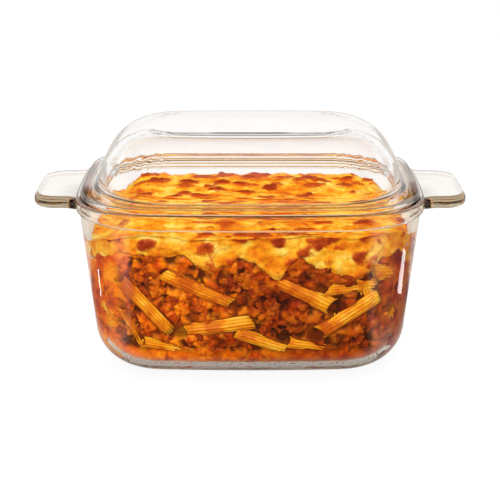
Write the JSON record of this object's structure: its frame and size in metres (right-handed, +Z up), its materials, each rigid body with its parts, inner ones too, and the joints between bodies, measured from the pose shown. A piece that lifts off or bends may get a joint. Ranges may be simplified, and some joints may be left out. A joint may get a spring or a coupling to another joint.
{
  "type": "covered casserole dish",
  "caption": "Deep clear-glass casserole dish with end handles and a domed lift-off glass lid, filled with a cheese-topped pasta bake.",
  "frame": {"origin": "middle of the base, on the table plane", "axes": "+Z up, X along the length from handle to handle, -Y the front"},
  "size_m": [0.314, 0.198, 0.171],
  "materials": {
    "dish_glass": "clear pressed borosilicate glass, gloss",
    "lid_glass": "clear pressed borosilicate glass, gloss",
    "pasta_sauce": "cooked tomato and mince sauce with ridged pasta tubes, wet",
    "baked_cheese": "melted cheese baked golden with brown spots, satin"
  },
  "bodies": {
    "dish": {"casserole_dish": "dish_glass", "pasta_filling": "pasta_sauce", "cheese_crust": "baked_cheese"},
    "lid": {"lid": "lid_glass"}
  },
  "joints": [
    {"name": "lid_lift", "type": "slide", "parent": "dish", "child": "lid", "axis": [0, 0, 1], "range_m": [0, 0.15]}
  ]
}
